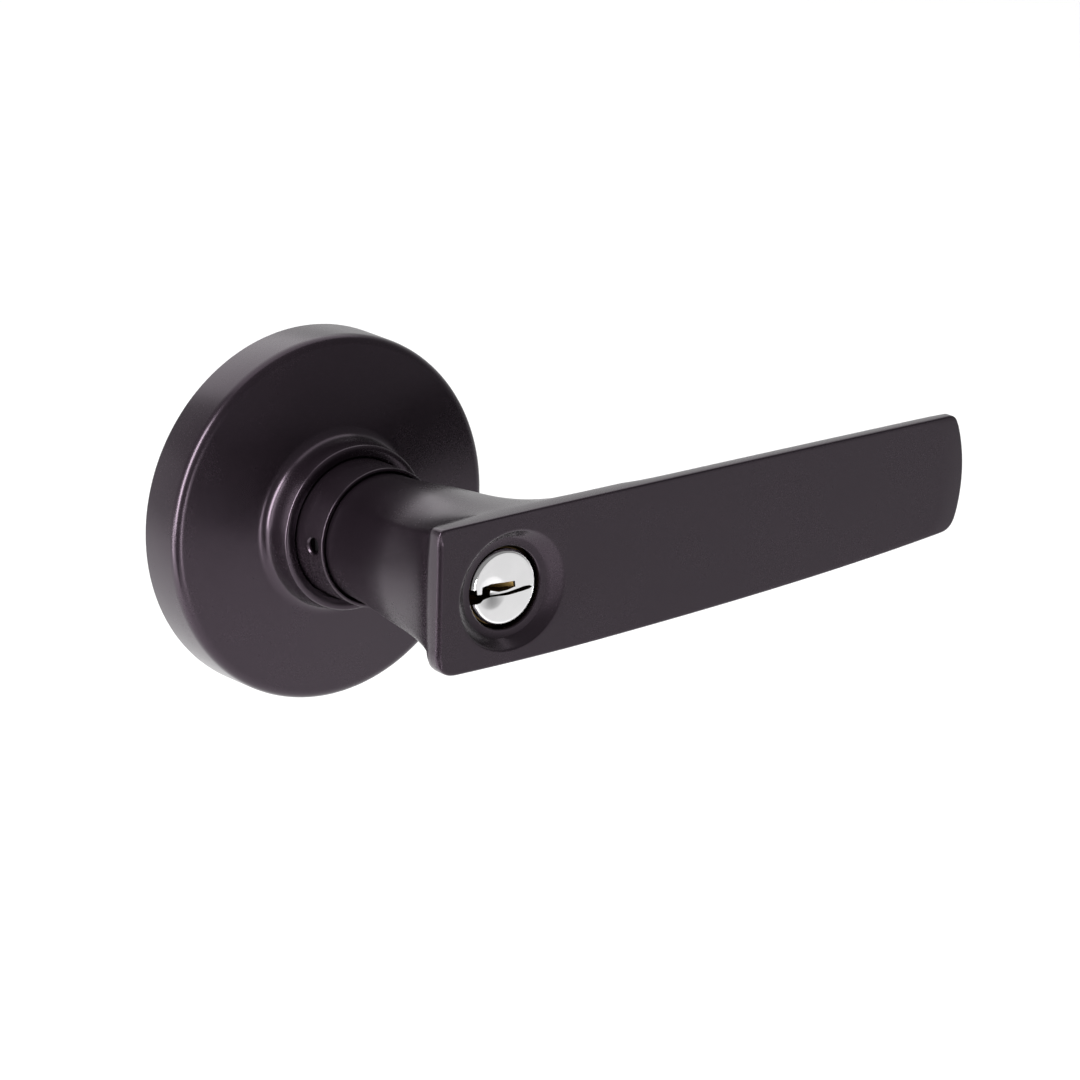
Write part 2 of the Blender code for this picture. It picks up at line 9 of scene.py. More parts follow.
import bmesh
import bpy
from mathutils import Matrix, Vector


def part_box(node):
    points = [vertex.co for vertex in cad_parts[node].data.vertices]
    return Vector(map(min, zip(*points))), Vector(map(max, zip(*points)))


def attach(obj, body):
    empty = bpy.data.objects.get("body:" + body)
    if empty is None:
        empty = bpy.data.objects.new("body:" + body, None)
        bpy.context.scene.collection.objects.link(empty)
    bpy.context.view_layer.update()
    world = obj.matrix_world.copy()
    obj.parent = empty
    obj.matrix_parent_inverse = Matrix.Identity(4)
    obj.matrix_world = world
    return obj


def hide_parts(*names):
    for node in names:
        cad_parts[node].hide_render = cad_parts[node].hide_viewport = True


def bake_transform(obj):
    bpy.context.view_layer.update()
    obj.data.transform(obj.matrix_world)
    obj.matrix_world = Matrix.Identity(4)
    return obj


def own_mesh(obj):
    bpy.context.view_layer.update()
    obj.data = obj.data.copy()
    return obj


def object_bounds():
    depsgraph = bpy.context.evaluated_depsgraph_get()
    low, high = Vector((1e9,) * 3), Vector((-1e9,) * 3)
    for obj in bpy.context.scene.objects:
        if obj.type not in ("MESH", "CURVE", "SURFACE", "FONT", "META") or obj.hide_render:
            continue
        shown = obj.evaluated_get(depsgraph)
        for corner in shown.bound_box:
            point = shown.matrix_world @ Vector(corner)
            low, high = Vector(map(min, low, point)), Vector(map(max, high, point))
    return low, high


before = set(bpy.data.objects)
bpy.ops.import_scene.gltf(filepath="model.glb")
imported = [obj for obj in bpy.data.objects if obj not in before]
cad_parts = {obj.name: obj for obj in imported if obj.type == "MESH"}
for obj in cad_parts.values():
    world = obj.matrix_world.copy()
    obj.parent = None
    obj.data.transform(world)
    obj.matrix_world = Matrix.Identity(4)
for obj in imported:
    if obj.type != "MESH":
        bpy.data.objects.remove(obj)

CAD_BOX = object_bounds()
MM = 0.001


def trim_box(node):
    """A CAD node's lowest and highest corners in the trim's frame, in millimetres."""
    low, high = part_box(node)
    corner_a = (low[0] / MM, low[2] / MM, -high[1] / MM)
    corner_b = (high[0] / MM, high[2] / MM, -low[1] / MM)
    return corner_a, corner_b


ROSE_HIGH = trim_box("rose_cover")[1]
COLLAR_LOW, COLLAR_HIGH = trim_box("collar")
LEVER_LOW, LEVER_HIGH = trim_box("lever_handle")
PLUG_LOW, PLUG_HIGH = trim_box("key_plug")
SHELL_LOW, SHELL_HIGH = trim_box("cylinder_shell")
SPINDLE_LOW, SPINDLE_HIGH = trim_box("spindle")
PLATE_LOW, PLATE_HIGH = trim_box("mounting_plate")
CAGE_LOW, CAGE_HIGH = trim_box("spring_cage")
CATCH_LOW, CATCH_HIGH = trim_box("lever_catch")

# The rose and its hub.
ROSE_RADIUS = ROSE_HIGH[0]
HUB_DEPTH = ROSE_HIGH[2]
ROSE_DEPTH = 9.7
CONE_DEPTH = 11.3
SHEET = 1.1
HUB_RADIUS = 15.3
HUB_INSIDE = 14.2
HUB_MOUTH = 13.0
CONE_WIDTH = 14.5
POST_HOLE = 3.7
RIVET_HOLE = 1.5
HOLE_EDGE = 0.25

# The collar.
COLLAR_RADIUS = 12.65
COLLAR_BORE = 12.0
COLLAR_FRONT = COLLAR_HIGH[2]
COLLAR_BACK = COLLAR_LOW[2]
RELEASE_REACH = (CATCH_LOW[2] + CATCH_HIGH[2]) / 2
RELEASE_RADIUS = 1.5
SHOULDER_RADIUS = 13.8
SHOULDER_LENGTH = 2.6
CATCH_SLOT_HALF = (1.5, 1.7)

# The lever's neck, face and grip.
NECK_RADIUS = 11.65
NECK_SWELL = 1.35
SWELL_LENGTH = 20.0
NECK_BACK = LEVER_LOW[2]
FACE_REACH = 63.66
FACE_SLOPE = 0.09
FACE_BOW = 0.00007
HEAD_LEFT = -16.4
HEAD_LEAN = 0.03
HEAD_LIFT = 0.75
TIP_RIGHT = LEVER_HIGH[0]
TIP_CURVE = 0.0195
TIP_MIDDLE = 1.0
UPPER_EDGE = 13.8
UPPER_TAPER = 3.0
UPPER_CURVE = 1.35
LOWER_EDGE = 13.35
LOWER_TAPER = 2.8
LOWER_CURVE = 3.4
LIFT_SHARE = 0.3
RIM_DEPTH = 1.8
GRIP_DEPTH = 7.5
GRIP_THINNING = 1.5
GRIP_END = 9.0
FLARE_LENGTH = 11.0
FILLET_REACH = 20.0
BLEND = 1.2
SPOKE_LIMIT = 30.0
SPOKE_RINGS = 46
EDGE_POINTS = 84
HEAD_CORNERS = (1.2, 4.4)
TIP_CORNERS = (1.8, 2.6)
EDGE_ROUND = 0.35
LEFT_EDGE_ROUND = 0.8
CHAMFER_SHARE = 0.6
RIM_ROUND = 0.25
CORNER_GAP = 0.5
TURN_STEPS = (0, 0.2, 0.4, 0.6, 0.8, 1.0)

# The recess and the key cylinder.
LEDGE_REACH = 61.8
LEDGE_RADIUS = 8.95
DISH_MIDDLE = (0.3, -0.1)
DISH_WIDTH = 12.0
DISH_HEIGHT = 10.6
FACE_HOLE = 7.5
POCKET_RADIUS = 8.35
POCKET_FRONT = 60.7
PLUG_FRONT = PLUG_HIGH[2]
PLUG_FACE_RADIUS = PLUG_HIGH[0]
PLUG_RADIUS = 6.35
DIMPLE_MIDDLE = (-2.6, -0.57)
DIMPLE_RADIUS = 3.0
DIMPLE_DEPTH = 0.45
SHELL_FRONT = SHELL_HIGH[2]
SHELL_BACK = SHELL_LOW[2]
SHELL_RADIUS = SHELL_HIGH[0]
SPINDLE_RADIUS = SPINDLE_HIGH[0]
SPINDLE_BORE = 8.3
TAIL_SLOT = (12, 3.2, 7)
CHAMBER_RADIUS = 1.45
ROW_RIGHT = -7.2
ROW_HALF = 2.0
PIN_COUNT = 5

# The camera and the studio: metres and degrees, with millimetres for the lens and its sensor.
CAMERA_AZIMUTH = -36.51
CAMERA_ELEVATION = 16.8
CAMERA_OFFSET = (0.042817, -0.00613, 1.234704)
CAMERA_LENS = 229.87
SENSOR = 36
FAR_CLIP = 50
FLOOR_DROP = 0.25
FLOOR_HALF = 12
WORLD_TOWARD = (0.6, 0.8, -0.3)


def row_point(x, y, z):
    """A trim point in the scene's frame, whose y runs into the door and whose z is up."""
    return (x * MM, -z * MM, y * MM)


def middle(node):
    """The middle of a CAD node's box in the trim's frame."""
    low, high = trim_box(node)
    return tuple((a + b) / 2 for a, b in zip(low, high))


def polar(radius, degrees):
    return (radius * math.cos(math.radians(degrees)), radius * math.sin(math.radians(degrees)))


def tab(degrees, every, width):
    """1 on a tab's middle, 0 away from it, for tabs spaced evenly round a ring."""
    away = abs((degrees + every / 2) % every - every / 2)
    return smooth_step(1.5 - away / width * 2)


# ---------------------------------------------------------------- materials


class Shader:
    """A small helper that lays out one Principled material's nodes."""

    def __init__(self, name):
        self.material = bpy.data.materials.new(name)
        self.material.use_nodes = True
        self.tree = self.material.node_tree
        self.main = self.tree.nodes["Principled BSDF"]
        self.place = self.tree.nodes.new("ShaderNodeTexCoord")

    def set(self, **values):
        for name, value in values.items():
            socket = self.main.inputs[name.replace("_", " ").title().replace("Ior", "IOR")]
            socket.default_value = (*value, 1.0) if isinstance(value, tuple) else value

    def link(self, out, into):
        self.tree.links.new(out, into)

    def noise(self, scale, detail=4.0, rough=0.5, stretch=(1, 1, 1)):
        """Noise over the object's own coordinates, with scale in features per metre."""
        mapping = self.tree.nodes.new("ShaderNodeMapping")
        mapping.inputs["Scale"].default_value = stretch
        self.link(self.place.outputs["Object"], mapping.inputs["Vector"])
        noise = self.tree.nodes.new("ShaderNodeTexNoise")
        noise.inputs["Scale"].default_value = scale
        noise.inputs["Detail"].default_value = detail
        noise.inputs["Roughness"].default_value = rough
        self.link(mapping.outputs["Vector"], noise.inputs["Vector"])
        return noise.outputs["Fac"]

    def ramp(self, value, stops):
        ramp = self.tree.nodes.new("ShaderNodeValToRGB")
        elements = ramp.color_ramp.elements
        while len(elements) < len(stops):
            elements.new(0.5)
        for element, (position, color) in zip(elements, stops):
            element.position = position
            element.color = (*color, 1.0)
        self.link(value, ramp.inputs["Fac"])
        return ramp.outputs["Color"]

    def spread(self, value, low, high):
        """Maps a 0-1 value onto a range."""
        node = self.tree.nodes.new("ShaderNodeMapRange")
        node.inputs["From Min"].default_value = 0.3
        node.inputs["From Max"].default_value = 0.7
        node.inputs["To Min"].default_value = low
        node.inputs["To Max"].default_value = high
        self.link(value, node.inputs["Value"])
        return node.outputs["Result"]

    def add(self, a, b, share=0.5):
        node = self.tree.nodes.new("ShaderNodeMix")
        node.data_type = "FLOAT"
        node.inputs["Factor"].default_value = share
        self.link(a, node.inputs["A"])
        self.link(b, node.inputs["B"])
        return node.outputs["Result"]

    def color(self, out):
        self.link(out, self.main.inputs["Base Color"])

    def roughness(self, out):
        self.link(out, self.main.inputs["Roughness"])

    def bump(self, height, distance, strength=1.0):
        node = self.tree.nodes.new("ShaderNodeBump")
        node.inputs["Distance"].default_value = distance
        node.inputs["Strength"].default_value = strength
        self.link(height, node.inputs["Height"])
        self.link(node.outputs["Normal"], self.main.inputs["Normal"])


def satin_black():
    """Warm black powder coat: a fine orange-peel skin with faint cloudy variation in its gloss."""
    look = Shader("satin_black")
    look.set(specular_ior_level=0.45, specular_tint=(1.0, 0.79, 0.98))
    clouds = look.noise(60, 3)
    look.color(look.ramp(clouds, [(0.3, (0.0036, 0.0024, 0.0034)), (0.7, (0.0056, 0.0038, 0.0052))]))
    peel = look.noise(2600, 2)
    look.roughness(look.spread(look.add(clouds, peel, 0.35), 0.24, 0.29))
    look.bump(peel, 0.000001)
    return look.material


def chrome():
    """Bright plate over lapped brass, with faint polishing haze."""
    look = Shader("chrome_plate")
    look.set(metallic=1.0)
    haze = look.noise(300, 4)
    look.color(look.ramp(haze, [(0.2, (0.74, 0.735, 0.74)), (0.8, (0.80, 0.795, 0.80))]))
    look.roughness(look.spread(haze, 0.05, 0.11))
    look.bump(look.noise(900, 2), 0.000002)
    return look.material


def brass(name, stretch, dull=0.0, low=(0.46, 0.27, 0.075), high=(0.72, 0.48, 0.17)):
    """Machined brass with fine cutting marks drawn out along one direction."""
    look = Shader(name)
    look.set(metallic=1.0)
    tone = look.noise(220, 5)
    look.color(look.ramp(tone, [(0.25, low), (0.75, high)]))
    marks = look.noise(1500, 3, 0.6, stretch)
    look.roughness(look.spread(look.add(tone, marks), 0.20 + dull, 0.38 + dull))
    look.bump(marks, 0.000008)
    return look.material


def steel(name, low, high, stretch=(1, 1, 1), rough=(0.28, 0.44)):
    """Plated or oiled steel: a cloudy tone with drawn grain."""
    look = Shader(name)
    look.set(metallic=1.0)
    tone = look.noise(150, 5)
    look.color(look.ramp(tone, [(0.25, low), (0.75, high)]))
    grain = look.noise(1800, 3, 0.6, stretch)
    look.roughness(look.spread(look.add(tone, grain), *rough))
    look.bump(grain, 0.000010)
    return look.material


def nylon():
    look = Shader("moulded_nylon")
    tone = look.noise(120, 4)
    look.color(look.ramp(tone, [(0.2, (0.62, 0.59, 0.52)), (0.8, (0.72, 0.70, 0.63))]))
    look.roughness(look.spread(tone, 0.45, 0.60))
    look.bump(look.noise(1400, 2), 0.000010)
    return look.material


BLACK = satin_black()
CHROME = chrome()
TURNED_BRASS = brass("turned_brass", (1, 12, 1))
MILLED_BRASS = brass("milled_brass", (1, 1, 12), 0.05)
# Brass painted near black: a painted shade for the keyway's deep walls.
KEYWAY_SHADE_BRASS = brass("keyway_painted_shade_brass", (1, 1, 12), 0.25, (0.020, 0.012, 0.006), (0.045, 0.028, 0.014))
# Brass painted dark: a painted shade so the gap round the plug reads dark.
SHELL_SHADE_BRASS = brass("shell_painted_shade_brass", (1, 12, 1), 0.10, (0.12, 0.075, 0.028), (0.22, 0.15, 0.06))
ZINC = steel("zinc_plate", (0.48, 0.49, 0.50), (0.66, 0.67, 0.68))
SPRING_WIRE = steel("spring_wire", (0.22, 0.22, 0.235), (0.36, 0.36, 0.38), (1, 1, 8), (0.22, 0.36))
BLACKENED = steel("blackened_steel", (0.018, 0.017, 0.019), (0.040, 0.038, 0.041), rough=(0.34, 0.5))
NYLON = nylon()


# ---------------------------------------------------------------- mesh helpers


def solid(name, verts, faces):
    """An object given in the trim's frame, with its faces turned outwards."""
    mesh = bpy.data.meshes.new(name)
    mesh.from_pydata([row_point(*v) for v in verts], [], faces)
    shape = bmesh.new()
    shape.from_mesh(mesh)
    bmesh.ops.recalc_face_normals(shape, faces=shape.faces)
    shape.to_mesh(mesh)
    shape.free()
    made = bpy.data.objects.new(name, mesh)
    bpy.context.scene.collection.objects.link(made)
    return made


def piece(name, verts, faces, look, body, nodes, angle=32):
    """A finished solid, riding on a body in place of its CAD nodes."""
    made = solid(name, verts, faces)
    smooth(made, angle)
    for each in look if isinstance(look, list) else [look]:
        made.data.materials.append(each)
    if body:
        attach(made, body)
    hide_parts(*nodes)
    return made


def smooth(thing, angle):
    thing.data.shade_smooth()
    thing.data.set_sharp_from_angle(angle=math.radians(angle))


def ring_faces(rings, around, closed):
    """Quads between neighbouring rings, and from the last back to the first if closed."""
    faces = []
    count = rings if closed else rings - 1
    for i in range(count):
        n = (i + 1) % rings
        for j in range(around):
            k = (j + 1) % around
            faces.append((i * around + j, i * around + k, n * around + k, n * around + j))
    return faces


def filleted(profile, steps=4):
    """A closed profile of (radius, reach, rounding) with each corner turned into a small arc."""
    out = []
    count = len(profile)
    for i, (r, z, rounding) in enumerate(profile):
        if not rounding:
            out.append((r, z))
            continue
        here = Vector((r, z))
        before = Vector(profile[i - 1][:2]) - here
        after = Vector(profile[(i + 1) % count][:2]) - here
        reach = min(rounding, before.length * 0.49, after.length * 0.49)
        a = before.normalized() * reach
        b = after.normalized() * reach
        for k in range(steps + 1):
            t = k / steps
            point = here + a * (1 - t) ** 2 + b * t ** 2
            out.append((point.x, point.y))
    return out


def lathe_mesh(profile, steps, centre=(0, 0, 0), toward="z", wave=None):
    """A closed profile turned about an axis; points on the axis are poles.

    wave(turn, radius, reach) gives what is added to the radius, with turn from 0 to 1 round the axis.
    """
    verts, rows = [], []
    for r, z in profile:
        if r <= 0:
            rows.append([len(verts)] * steps)
            verts.append((0.0, 0.0, z))
            continue
        rows.append([len(verts) + k for k in range(steps)])
        for k in range(steps):
            angle = 2 * math.pi * k / steps
            radius = r + wave(k / steps, r, z) if wave else r
            verts.append((radius * math.cos(angle), radius * math.sin(angle), z))
    faces = []
    for i in range(len(rows)):
        a, b = rows[i], rows[(i + 1) % len(rows)]
        if a[0] == a[1] and b[0] == b[1]:
            continue
        for k in range(steps):
            n = (k + 1) % steps
            corners = [a[k], a[n], b[n], b[k]]
            faces.append(tuple(dict.fromkeys(corners)))
    if toward == "-x":
        verts = [(-z, y, x) for x, y, z in verts]
    verts = [tuple(c + o for c, o in zip(v, centre)) for v in verts]
    return verts, faces


def lathe(name, profile, look, body, node, steps=96, centre=(0, 0, 0), toward="z", wave=None):
    verts, faces = lathe_mesh(filleted(profile), steps, centre, toward, wave)
    return piece(name, verts, faces, look, body, [node])


def band_mesh(outer, inner, back, front, edge, steps=240):
    """A flat ring with rounded edges, whose outer radius may be a function of the angle."""
    rings = []
    for k in range(steps):
        degrees = 360 * k / steps
        radius = outer(degrees) if callable(outer) else outer
        corners = [(radius, front), (radius, back), (inner, back), (inner, front)]
        ring = filleted([(r, z, edge) for r, z in corners], 3)
        c, s = math.cos(math.radians(degrees)), math.sin(math.radians(degrees))
        rings.append([(r * c, r * s, z) for r, z in ring])
    verts = [point for ring in rings for point in ring]
    return verts, ring_faces(steps, len(rings[0]), closed=True)


def block_mesh(low, high):
    xs, ys, zs = zip(low, high)
    verts = [(x, y, z) for x in xs for y in ys for z in zs]
    faces = [(0, 1, 3, 2), (4, 6, 7, 5), (0, 4, 5, 1), (2, 3, 7, 6), (0, 2, 6, 4), (1, 5, 7, 3)]
    return verts, faces


def tool(verts, faces, look=None):
    """A throwaway solid for carving; a look colours the faces that it leaves behind."""
    made = solid("tool", verts, faces)
    if look:
        made.data.materials.append(look)
    return made


def settle(thing):
    """Makes the piece's modifiers part of its mesh."""
    bpy.context.view_layer.update()
    seen = thing.evaluated_get(bpy.context.evaluated_depsgraph_get())
    mesh = bpy.data.meshes.new_from_object(seen)
    thing.modifiers.clear()
    old = thing.data
    thing.data = mesh
    bpy.data.meshes.remove(old)
    mesh.name = thing.name


def carve(thing, cutter, operation="DIFFERENCE"):
    """Cuts the tool out of the piece, or joins it on, and removes the tool."""
    step = thing.modifiers.new("carve", "BOOLEAN")
    step.operation = operation
    step.solver = "EXACT"
    step.material_mode = "TRANSFER"
    step.object = cutter
    settle(thing)
    bpy.data.objects.remove(cutter, do_unlink=True)


def soften(thing, width, angle=40):
    """Rounds the piece's sharp edges."""
    step = thing.modifiers.new("soften", "BEVEL")
    step.width = width * MM
    step.segments = 2
    step.limit_method = "ANGLE"
    step.angle_limit = math.radians(angle)
    settle(thing)
    smooth(thing, 40)


def drill(thing, x, y, radius, back, front):
    """A hole through a plate between two reaches, with both its edges broken."""
    past = 1
    flare = radius + past + HOLE_EDGE
    profile = [
        (0, back - past), (flare, back - past), (radius, back + HOLE_EDGE), (radius, front - HOLE_EDGE),
        (flare, front + past), (0, front + past),
    ]
    verts, faces = lathe_mesh(profile, 48, (x, y, 0))
    carve(thing, tool(verts, faces))


def prism_mesh(outline, back, front):
    """An outline in x and y drawn out between two reaches."""
    count = len(outline)
    verts = [(x, y, back) for x, y in outline] + [(x, y, front) for x, y in outline]
    faces = [tuple(range(count)), tuple(range(2 * count - 1, count - 1, -1))]
    for i in range(count):
        k = (i + 1) % count
        faces.append((i, k, count + k, count + i))
    return verts, faces


def tube_mesh(path, radius, sides=10):
    """A round wire along a list of points, with flat ends."""
    points = [Vector(p) for p in path]
    verts = []
    normal = (points[1] - points[0]).orthogonal().normalized()
    for i, point in enumerate(points):
        ahead = points[min(i + 1, len(points) - 1)] - points[max(i - 1, 0)]
        ahead.normalize()
        normal = (normal - ahead * normal.dot(ahead)).normalized()
        side = ahead.cross(normal)
        for k in range(sides):
            angle = 2 * math.pi * k / sides
            verts.append(tuple(point + (normal * math.cos(angle) + side * math.sin(angle)) * radius))
    faces = ring_faces(len(points), sides, closed=False)
    faces.append(tuple(range(sides - 1, -1, -1)))
    last = (len(points) - 1) * sides
    faces.append(tuple(range(last, last + sides)))
    return verts, faces


# ---------------------------------------------------------------- the lever


def face_reach(x):
    """How far the grip's front face stands out from the door at x."""
    return FACE_REACH - FACE_SLOPE * x - FACE_BOW * x * x


def along(x):
    """Share of the grip's length that lies left of x."""
    return max(0.0, (x - HEAD_LEFT) / (TIP_RIGHT - HEAD_LEFT))


def upper_edge(x):
    return UPPER_EDGE - UPPER_TAPER * along(x) ** UPPER_CURVE


def lower_edge(x):
    near_head = max(0.0, 1 - along(x) / LIFT_SHARE)
    return LOWER_TAPER * along(x) ** LOWER_CURVE + HEAD_LIFT * near_head ** 2 - LOWER_EDGE


def head_edge(y):
    return (HEAD_LEFT + HEAD_LEAN * y, y)


def tip_edge(y):
    return (TIP_RIGHT - TIP_CURVE * (y - TIP_MIDDLE) ** 2, y)


def tip_corner(edge):
    """Where the tip's edge meets the upper or lower edge."""
    x = TIP_RIGHT
    for _ in range(5):
        x = tip_edge(edge(x))[0]
    return (x, edge(x))


def rounded_corner(corner, before, after, radius, steps):
    """Points of an arc that rounds a corner between the directions of its two neighbours."""
    out = []
    into = [before[i] - corner[i] for i in range(2)]
    away = [after[i] - corner[i] for i in range(2)]
    into = [c / math.hypot(*into) for c in into]
    away = [c / math.hypot(*away) for c in away]
    for i in range(steps + 1):
        t = i / steps
        a, b = (1 - t) ** 2, t ** 2
        out.append(tuple(corner[k] + radius * (a * into[k] + b * away[k]) for k in range(2)))
    return out


def run(edge, start, end, count):
    """Evenly spaced points on one edge of the outline."""
    return [edge(start + (end - start) * i / (count - 1)) for i in range(count)]


def grip_outline():
    """The front face's outline, anticlockwise from the middle of the tip."""
    def upper(x):
        return (x, upper_edge(x))

    def lower(x):
        return (x, lower_edge(x))

    tip_top, tip_low = tip_corner(upper_edge), tip_corner(lower_edge)
    head_top, head_low = upper(HEAD_LEFT + 0.4), lower(HEAD_LEFT - 0.4)
    points = run(tip_edge, 0, tip_top[1] - TIP_CORNERS[0] - CORNER_GAP, 12)
    points += rounded_corner(tip_top, tip_edge(7), upper(tip_top[0] - 9), TIP_CORNERS[0], 8)
    points += run(upper, tip_top[0] - 2.4, -14.4, EDGE_POINTS)
    points += rounded_corner(head_top, upper(0), head_low, HEAD_CORNERS[0], 7)
    points += run(head_edge, 12.0, -7.8, 20)
    points += rounded_corner(head_low, head_top, lower(-6), HEAD_CORNERS[1], 12)
    points += run(lower, -11.8, tip_low[0] - 3.2, EDGE_POINTS)
    points += rounded_corner(tip_low, lower(tip_low[0] - 9), tip_edge(-7), TIP_CORNERS[1], 9)
    points += run(tip_edge, tip_low[1] + TIP_CORNERS[1] + CORNER_GAP, -0.7, 10)
    return points


def spoke_angle(x, y):
    """The angle on the round neck that an outline point's spoke runs to, spread for far points."""
    if x > 0:
        x = x / (1 + x / SPOKE_LIMIT)
    return math.atan2(y, x)


def smooth_step(t):
    t = min(1.0, max(0.0, t))
    return t * t * (3 - 2 * t)


def neck_radius(reach):
    return NECK_RADIUS + NECK_SWELL * smooth_step((reach - COLLAR_FRONT) / SWELL_LENGTH)


def grip_back(x, y):
    """Depth of the grip's rounded back behind its face."""
    high, low = upper_edge(x), lower_edge(x)
    across = min(1.0, abs(2 * y - high - low) / (high - low))
    ends = min(1.0, max(0.0, (TIP_RIGHT - x) / GRIP_END), max(0.0, (x - HEAD_LEFT) / GRIP_END))
    dome = math.sqrt(max(0.0, 1 - across * across)) * math.sqrt(max(0.0, 1 - (1 - ends) ** 2))
    full = GRIP_DEPTH - GRIP_THINNING * max(0.0, x) / TIP_RIGHT
    return RIM_DEPTH + (full - RIM_DEPTH) * dome


def spoke(point, count):
    """Points from behind the face's edge, over the grip's back and down the neck's side."""
    angle = spoke_angle(*point)
    toward = (math.cos(angle), math.sin(angle))
    widest = NECK_RADIUS + NECK_SWELL
    length = math.dist(point, [widest * c for c in toward])
    fillet = min(1.0, FILLET_REACH / length)
    straight = FACE_REACH - COLLAR_FRONT
    faded = math.exp((RIM_DEPTH - straight) / FLARE_LENGTH)
    path = [(*point, face_reach(point[0]) - RIM_DEPTH)]
    samples, falloff = 400, 5.0
    for i in range(1, samples + 1):
        share = math.exp(-falloff * i / samples) - math.exp(-falloff) * i / samples
        flare = RIM_DEPTH - FLARE_LENGTH * math.log(share / fillet * (1 - faded) + faded)
        x, y = (point[k] * share + widest * toward[k] * (1 - share) for k in range(2))
        low, high = sorted((flare, grip_back(x, y)))
        depth = max(RIM_DEPTH, high + BLEND * math.exp((low - high) / BLEND))
        radius = neck_radius(FACE_REACH - depth)
        x, y = (point[k] * share + radius * toward[k] * (1 - share) for k in range(2))
        level = 1 / (1 + (max(0.0, depth - GRIP_DEPTH) / FILLET_REACH * 2) ** 2)
        path.append((x, y, face_reach(x * level) - depth))
    neck = [(NECK_RADIUS * toward[0], NECK_RADIUS * toward[1], z) for z in (COLLAR_FRONT, NECK_BACK)]
    path[-1] = neck[0]
    return resample(path, count) + neck[1:]


def resample(path, count):
    """The same path with evenly spaced points."""
    reached = [0.0]
    for a, b in zip(path, path[1:]):
        reached.append(reached[-1] + math.dist(a, b))
    out = []
    at = 0
    for i in range(count):
        goal = reached[-1] * i / (count - 1)
        while at < len(path) - 2 and reached[at + 1] < goal:
            at += 1
        step = reached[at + 1] - reached[at]
        t = (goal - reached[at]) / step if step else 0.0
        out.append(tuple(a + (b - a) * t for a, b in zip(path[at], path[at + 1])))
    return out


def inward(outline):
    """The unit direction into the face at each point of its outline."""
    out = []
    count = len(outline)
    for i in range(count):
        before, after = outline[i - 1], outline[(i + 1) % count]
        run_x, run_y = after[0] - before[0], after[1] - before[1]
        length = math.hypot(run_x, run_y)
        out.append((-run_y / length, run_x / length))
    return out


def left_side(point):
    """1 along the head's left side, fading to 0 at its two corners."""
    edge_width, edge_fade = 0.8, 0.6
    corner_height, corner_fade = 0.9, 1.5
    near = smooth_step((head_edge(point[1])[0] + edge_width - point[0]) / edge_fade)
    return near * smooth_step((UPPER_EDGE - corner_height - point[1]) / corner_fade)


def lever_rings():
    """Rings of points round the lever: out over the recess and face, back along grip and neck."""
    outline = grip_outline()
    aims = inward(outline)
    angles = [spoke_angle(*point) for point in outline]
    spokes = [spoke(point, SPOKE_RINGS) for point in outline]

    def circle(radius, reach):
        return [(radius * math.cos(a), radius * math.sin(a), reach) for a in angles]

    def dish(grow):
        """A ring on the recess's rim, grown outwards along the face."""
        ring = []
        for angle in angles:
            x = DISH_MIDDLE[0] + (DISH_WIDTH + grow) * math.cos(angle)
            y = DISH_MIDDLE[1] + (DISH_HEIGHT + grow) * math.sin(angle)
            ring.append((x, y, face_reach(x)))
        return ring

    def between(inner, outer, share):
        return [tuple(a + (b - a) * share for a, b in zip(p, q)) for p, q in zip(inner, outer)]

    def rounded_edge(turn):
        """A ring on the face's rounded edge: on the face at turn 0 and on its side at turn 1."""
        ring = []
        for point, aim in zip(outline, aims):
            left = left_side(point)
            size = EDGE_ROUND + (LEFT_EDGE_ROUND - EDGE_ROUND) * left
            flat = CHAMFER_SHARE * left
            step = size * (flat * (1 - turn) + (1 - flat) * (1 - math.sin(turn * math.pi / 2)))
            sink = size * (flat * turn + (1 - flat) * (1 - math.cos(turn * math.pi / 2)))
            x, y = (point[k] + aim[k] * step for k in range(2))
            ring.append((x, y, face_reach(x) - sink))
        return ring

    ledge = circle(LEDGE_RADIUS, LEDGE_REACH)
    rim = dish(0)
    bore, bore_end = SPINDLE_RADIUS + 0.4, SPINDLE_HIGH[2] + 0.4
    rings = [
        circle(bore + 0.3, NECK_BACK),
        circle(bore, NECK_BACK + 0.3),
        circle(bore, bore_end),
        circle(POCKET_RADIUS, bore_end),
        circle(POCKET_RADIUS, POCKET_FRONT),
        circle(FACE_HOLE, POCKET_FRONT),
        circle(FACE_HOLE, LEDGE_REACH - 0.15),
        circle(FACE_HOLE + 0.15, LEDGE_REACH),
        circle(LEDGE_RADIUS - 0.12, LEDGE_REACH),
    ]
    rings += [between(ledge, rim, share) for share in (0.03, 0.25, 0.5, 0.75)]
    inside, outside = between(ledge, rim, 0.88), dish(RIM_ROUND)
    for turn in TURN_STEPS:
        rings.append(between(between(inside, rim, turn), between(rim, outside, turn), turn))
    start, edge = outside, rounded_edge(0)
    for share in (0.08, 0.25, 0.5, 0.75, 0.95):
        flat = []
        for p, q in zip(start, edge):
            x, y = (p[k] + (q[k] - p[k]) * share for k in range(2))
            flat.append((x, y, face_reach(x)))
        rings.append(flat)
    rings += [rounded_edge(turn) for turn in (0, 0.25, 0.5, 0.75, 1.0)]
    for i in range(len(spokes[0])):
        rings.append([path[i] for path in spokes])
    return rings


def catch_slot(left, right):
    """The corners of the slot that the catch slides through."""
    half_width, half_length = CATCH_SLOT_HALF
    return (left, -half_width, RELEASE_REACH - half_length), (right, half_width, RELEASE_REACH + half_length)


